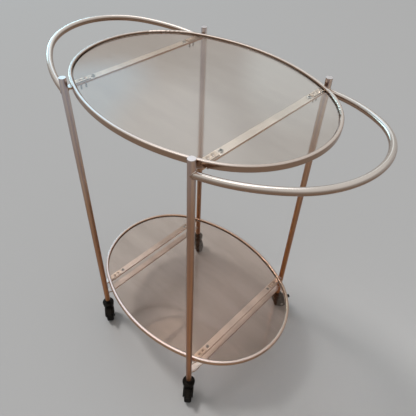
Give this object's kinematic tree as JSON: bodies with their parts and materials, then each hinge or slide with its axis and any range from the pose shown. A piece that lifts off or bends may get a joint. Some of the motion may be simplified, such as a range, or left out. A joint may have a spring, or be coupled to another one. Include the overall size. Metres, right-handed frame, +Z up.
{
  "type": "bar cart",
  "caption": "Two-tier oval bar cart with glass trays in metal rims, tubular uprights, loop handles at the ends and swivel casters.",
  "frame": {"origin": "on the floor under the middle of the cart", "axes": "+X along the cart from one handle to the other, +Y across it, +Z up"},
  "size_m": [0.8142, 0.4714, 0.8236],
  "materials": {
    "leg_metal": "satin, champagne",
    "cap_metal": "satin, champagne",
    "rim_metal": "satin, champagne",
    "bar_metal": "satin, champagne",
    "stretcher_metal": "satin, champagne",
    "tongue_metal": "satin, champagne",
    "handle_metal": "satin, champagne",
    "screw_metal": "bright",
    "nut_metal": "bright",
    "glass": "polished, lightly smoked",
    "pad_rubber": "soft, translucent",
    "socket_plastic": "moulded",
    "stem_steel": "turned",
    "hood_plastic": "moulded",
    "axle_steel": "turned",
    "core_plastic": "moulded",
    "tyre_rubber": "smooth"
  },
  "bodies": {
    "frame": {"leg_front_left": "leg_metal", "leg_front_right": "leg_metal", "leg_back_left": "leg_metal", "leg_back_right": "leg_metal", "leg_caps": "cap_metal", "top_rim": "rim_metal", "lower_rim": "rim_metal", "top_glass": "glass", "lower_glass": "glass", "top_glass_pads": "pad_rubber", "lower_glass_pads": "pad_rubber", "top_bar_left": "bar_metal", "top_bar_right": "bar_metal", "shelf_bar_left": "bar_metal", "shelf_bar_right": "bar_metal", "stretcher_left": "stretcher_metal", "stretcher_right": "stretcher_metal", "top_rim_tongues": "tongue_metal", "lower_rim_tongues": "tongue_metal", "top_rim_screws": "screw_metal", "lower_rim_screws": "screw_metal", "top_rim_nuts": "nut_metal", "lower_rim_nuts": "nut_metal", "handle_left": "handle_metal", "handle_right": "handle_metal", "caster_socket_front_left": "socket_plastic", "caster_socket_front_right": "socket_plastic", "caster_socket_back_left": "socket_plastic", "caster_socket_back_right": "socket_plastic"},
    "swivel_front_left": {"caster_stem_front_left": "stem_steel", "caster_hood_front_left": "hood_plastic", "caster_axle_front_left": "axle_steel"},
    "wheel_front_left": {"wheel_core_front_left": "core_plastic", "wheel_tyre_front_left": "tyre_rubber"},
    "swivel_front_right": {"caster_stem_front_right": "stem_steel", "caster_hood_front_right": "hood_plastic", "caster_axle_front_right": "axle_steel"},
    "wheel_front_right": {"wheel_core_front_right": "core_plastic", "wheel_tyre_front_right": "tyre_rubber"},
    "swivel_back_left": {"caster_stem_back_left": "stem_steel", "caster_hood_back_left": "hood_plastic", "caster_axle_back_left": "axle_steel"},
    "wheel_back_left": {"wheel_core_back_left": "core_plastic", "wheel_tyre_back_left": "tyre_rubber"},
    "swivel_back_right": {"caster_stem_back_right": "stem_steel", "caster_hood_back_right": "hood_plastic", "caster_axle_back_right": "axle_steel"},
    "wheel_back_right": {"wheel_core_back_right": "core_plastic", "wheel_tyre_back_right": "tyre_rubber"}
  },
  "joints": [
    {"name": "swivel_turn_front_left", "type": "hinge", "parent": "frame", "child": "swivel_front_left", "pos_m": [-0.18, -0.2, 0.058], "axis": [0, 0, 1], "continuous": true},
    {"name": "wheel_roll_front_left", "type": "hinge", "parent": "swivel_front_left", "child": "wheel_front_left", "pos_m": [-0.16406, -0.21035, 0.021], "axis": [0.5446, 0.8387, 0], "continuous": true},
    {"name": "swivel_turn_front_right", "type": "hinge", "parent": "frame", "child": "swivel_front_right", "pos_m": [0.18, -0.2, 0.058], "axis": [0, 0, 1], "continuous": true},
    {"name": "wheel_roll_front_right", "type": "hinge", "parent": "swivel_front_right", "child": "wheel_front_right", "pos_m": [0.19246, -0.21434, 0.021], "axis": [0.7547, 0.6561, 0], "continuous": true},
    {"name": "swivel_turn_back_left", "type": "hinge", "parent": "frame", "child": "swivel_back_left", "pos_m": [-0.18, 0.2, 0.058], "axis": [0, 0, 1], "continuous": true},
    {"name": "wheel_roll_back_left", "type": "hinge", "parent": "swivel_back_left", "child": "wheel_back_left", "pos_m": [-0.16425, 0.18937, 0.021], "axis": [0.5592, 0.829, 0], "continuous": true},
    {"name": "swivel_turn_back_right", "type": "hinge", "parent": "frame", "child": "swivel_back_right", "pos_m": [0.18, 0.2, 0.058], "axis": [0, 0, 1], "continuous": true},
    {"name": "wheel_roll_back_right", "type": "hinge", "parent": "swivel_back_right", "child": "wheel_back_right", "pos_m": [0.19246, 0.21434, 0.021], "axis": [-0.7547, 0.6561, 0], "continuous": true}
  ]
}
